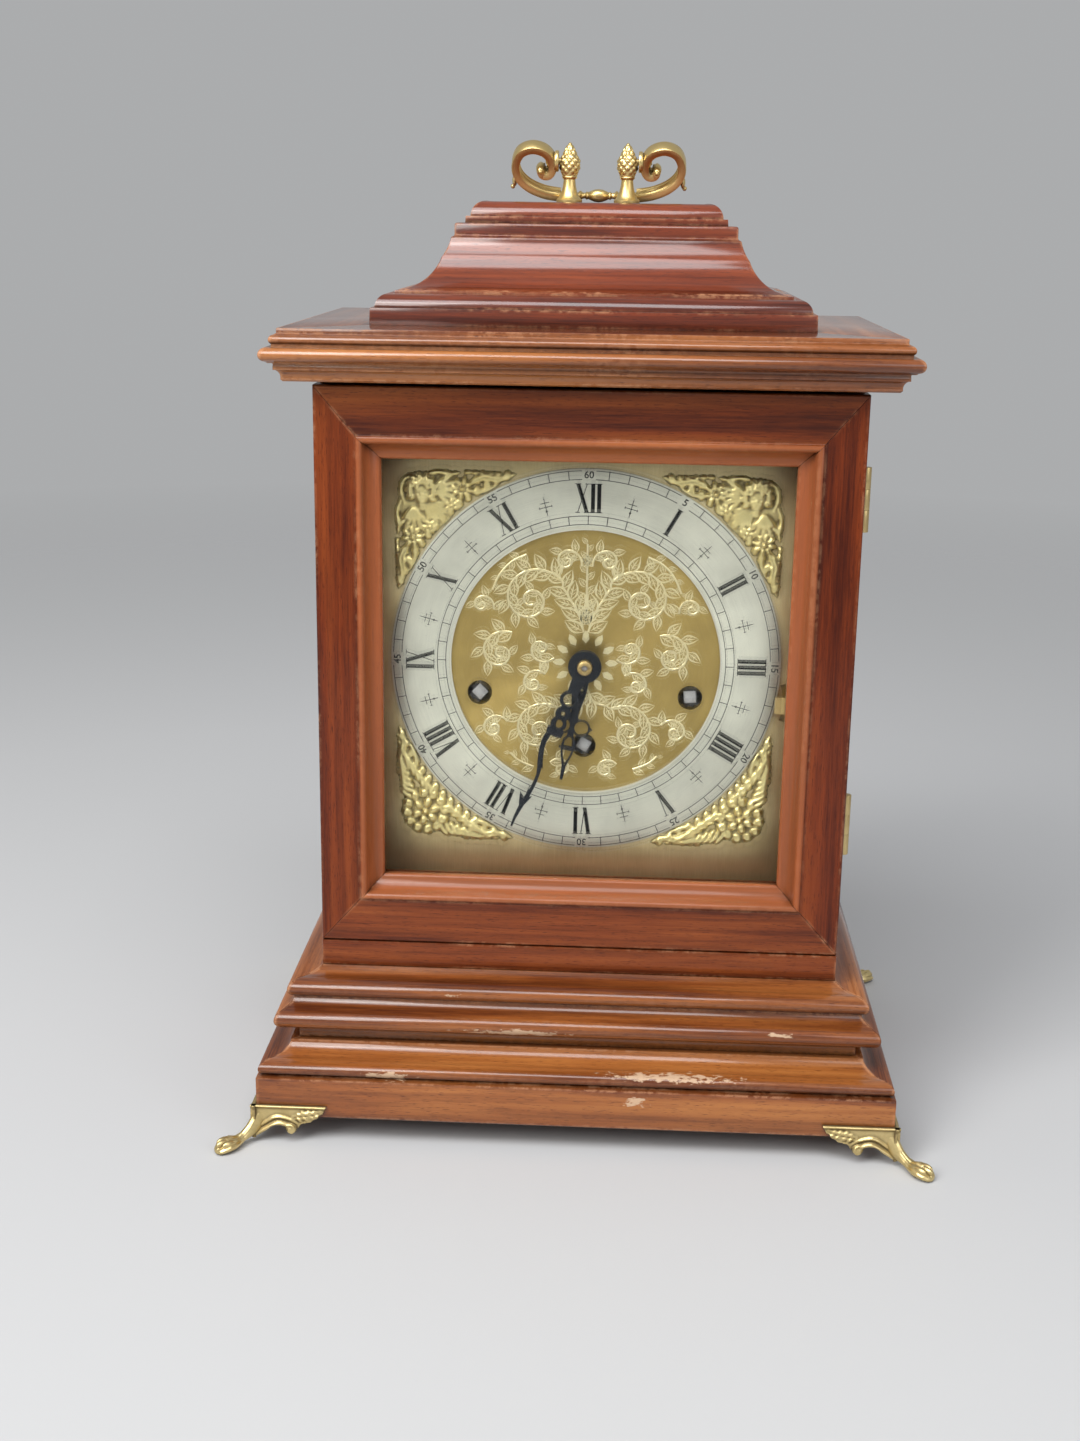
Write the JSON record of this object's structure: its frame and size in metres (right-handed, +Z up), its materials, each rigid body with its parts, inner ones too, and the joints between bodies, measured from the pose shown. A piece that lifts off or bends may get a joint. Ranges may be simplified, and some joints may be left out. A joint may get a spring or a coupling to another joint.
{
  "type": "bracket clock",
  "caption": "Bracket clock: moulded mahogany case with bell top and swing handle, glazed hinged door, square brass dial with chapter ring, brass paw feet, spring movement.",
  "frame": {"origin": "on the floor, midway between the outer toes of the feet", "axes": "+Z up, -Y towards the viewer of the dial, +X to that viewer's right"},
  "size_m": [0.2988, 0.21, 0.4092],
  "materials": {
    "mahogany": "red-brown lacquered mahogany",
    "polished_brass": "cast and polished brass",
    "gilt_brass": "gilt cast brass with dark recesses",
    "dial_brass": "satin lacquered brass",
    "movement_brass": "bright machined brass",
    "silvered": "satin silvered",
    "black_steel": "blackened steel",
    "bright_steel": "turned steel",
    "cast_iron": "dark cast block with steel rods",
    "glass": "clear flat glass"
  },
  "bodies": {
    "case": {"back_plate": "movement_brass", "back_rails": "mahogany", "base_moulding_front": "mahogany", "base_moulding_left": "mahogany", "base_moulding_right": "mahogany", "bracket_feet": "polished_brass", "caddy_base": "mahogany", "caddy_cap": "mahogany", "caddy_cove": "mahogany", "carcase_bottom": "mahogany", "carcase_left_side": "mahogany", "carcase_right_side": "mahogany", "carcase_top": "mahogany", "case_hinge_leaves": "polished_brass", "chapter_ring": "silvered", "chime_rods": "cast_iron", "cornice_front": "mahogany", "cornice_left": "mahogany", "cornice_right": "mahogany", "dial_plate": "dial_brass", "front_plate": "movement_brass", "handle_posts": "polished_brass", "movement_cocks": "movement_brass", "movement_pillars": "bright_steel", "plinth_front": "mahogany", "plinth_left": "mahogany", "plinth_right": "mahogany", "seat_board": "mahogany", "spandrels": "gilt_brass"},
    "door": {"door_stile_left": "mahogany", "door_stile_right": "mahogany", "door_rail_top": "mahogany", "door_rail_bottom": "mahogany", "door_glass": "glass", "glazing_beads": "mahogany", "door_hinge_leaves": "polished_brass"},
    "rear_door": {"back_door": "mahogany", "back_door_hinge_leaves": "polished_brass"},
    "turn_button": {"back_door_button": "polished_brass"},
    "bail": {"handle_bail": "polished_brass"},
    "minute_train": {"centre_arbor": "bright_steel", "minute_hand": "black_steel", "hand_nut": "movement_brass"},
    "hour_train": {"hour_wheel": "movement_brass", "hour_hand": "black_steel"},
    "motion_wheel": {"minute_wheel": "movement_brass"},
    "third_wheel": {"intermediate_wheel": "movement_brass"},
    "going_barrel": {"time_barrel": "movement_brass"},
    "striking_barrel": {"strike_barrel": "movement_brass"},
    "chiming_barrel": {"chime_barrel": "movement_brass"},
    "going_arbor": {"time_winding_arbor": "bright_steel"},
    "striking_arbor": {"strike_winding_arbor": "bright_steel"},
    "chiming_arbor": {"chime_winding_arbor": "bright_steel"},
    "lever": {"chime_lever": "movement_brass"},
    "drum": {"chime_drum": "movement_brass"},
    "hammer_a": {"hammer_1": "movement_brass"},
    "hammer_b": {"hammer_2": "movement_brass"},
    "hammer_c": {"hammer_3": "movement_brass"},
    "hammer_d": {"hammer_4": "movement_brass"},
    "balance": {"balance_wheel": "movement_brass"}
  },
  "joints": [
    {"name": "front_door_swing", "type": "hinge", "parent": "case", "child": "door", "pos_m": [0.1105, -0.04585, 0.2025], "axis": [0, 0, 1], "range_deg": [0, 170]},
    {"name": "back_door_swing", "type": "hinge", "parent": "case", "child": "rear_door", "pos_m": [-0.09615, 0.0903, 0.2025], "axis": [0, 0, 1], "range_deg": [0, 165]},
    {"name": "turn_button_swing", "type": "hinge", "parent": "case", "child": "turn_button", "pos_m": [0.1024, 0.088, 0.19275], "axis": [0, -1, 0], "range_deg": [0, 90]},
    {"name": "handle_swing", "type": "hinge", "parent": "case", "child": "bail", "pos_m": [0, 0.012, 0.4006], "axis": [1, 0, 0], "range_deg": [0, 290]},
    {"name": "minute_hand_turn", "type": "hinge", "parent": "case", "child": "minute_train", "pos_m": [0, 0, 0.1995], "axis": [0, 1, 0], "continuous": true},
    {"name": "hour_hand_turn", "type": "hinge", "parent": "case", "child": "hour_train", "pos_m": [0, 0, 0.1995], "axis": [0, 1, 0], "continuous": true},
    {"name": "motion_wheel_turn", "type": "hinge", "parent": "case", "child": "motion_wheel", "pos_m": [-0.0099, 0, 0.1896], "axis": [0, 1, 0], "continuous": true},
    {"name": "third_wheel_turn", "type": "hinge", "parent": "case", "child": "third_wheel", "pos_m": [0.01769, 0, 0.18155], "axis": [0, 1, 0], "continuous": true},
    {"name": "going_barrel_turn", "type": "hinge", "parent": "case", "child": "going_barrel", "pos_m": [0, 0, 0.1636], "axis": [0, 1, 0], "continuous": true},
    {"name": "striking_barrel_turn", "type": "hinge", "parent": "case", "child": "striking_barrel", "pos_m": [-0.044, 0, 0.1855], "axis": [0, 1, 0], "continuous": true},
    {"name": "chiming_barrel_turn", "type": "hinge", "parent": "case", "child": "chiming_barrel", "pos_m": [0.044, 0, 0.1855], "axis": [0, 1, 0], "continuous": true},
    {"name": "chime_drum_turn", "type": "hinge", "parent": "case", "child": "drum", "pos_m": [0.052, 0, 0.1616], "axis": [0, 1, 0], "continuous": true},
    {"name": "going_wind", "type": "hinge", "parent": "case", "child": "going_arbor", "pos_m": [0, 0, 0.1636], "axis": [0, 1, 0], "continuous": true},
    {"name": "striking_wind", "type": "hinge", "parent": "case", "child": "striking_arbor", "pos_m": [-0.044, 0, 0.1855], "axis": [0, 1, 0], "continuous": true},
    {"name": "chiming_wind", "type": "hinge", "parent": "case", "child": "chiming_arbor", "pos_m": [0.044, 0, 0.1855], "axis": [0, 1, 0], "continuous": true},
    {"name": "chime_lever_move", "type": "hinge", "parent": "case", "child": "lever", "pos_m": [0.058, -0.035, 0.1844], "axis": [0, 1, 0], "range_deg": [-12, 12]},
    {"name": "balance_swing", "type": "hinge", "parent": "case", "child": "balance", "pos_m": [0, 0.05, 0.214], "axis": [0, 0, 1], "range_deg": [-135, 135], "stiffness_Nm_per_rad": 0.0001},
    {"name": "hammer_a_lift", "type": "hinge", "parent": "case", "child": "hammer_a", "pos_m": [0.028, 0.037, 0.155], "axis": [0, 1, 0], "range_deg": [0, 22]},
    {"name": "hammer_b_lift", "type": "hinge", "parent": "case", "child": "hammer_b", "pos_m": [0.028, 0.045, 0.155], "axis": [0, 1, 0], "range_deg": [0, 22]},
    {"name": "hammer_c_lift", "type": "hinge", "parent": "case", "child": "hammer_c", "pos_m": [0.028, 0.053, 0.155], "axis": [0, 1, 0], "range_deg": [0, 22]},
    {"name": "hammer_d_lift", "type": "hinge", "parent": "case", "child": "hammer_d", "pos_m": [0.028, 0.061, 0.155], "axis": [0, 1, 0], "range_deg": [0, 22]}
  ],
  "couplings": [
    {"joint": "hour_hand_turn", "follows": "minute_hand_turn", "ratio": 0.083333},
    {"joint": "motion_wheel_turn", "follows": "minute_hand_turn", "ratio": -0.33333},
    {"joint": "third_wheel_turn", "follows": "minute_hand_turn", "ratio": -0.2},
    {"joint": "going_barrel_turn", "follows": "minute_hand_turn", "ratio": 0.033333},
    {"joint": "chime_drum_turn", "follows": "chiming_barrel_turn", "ratio": -5}
  ]
}
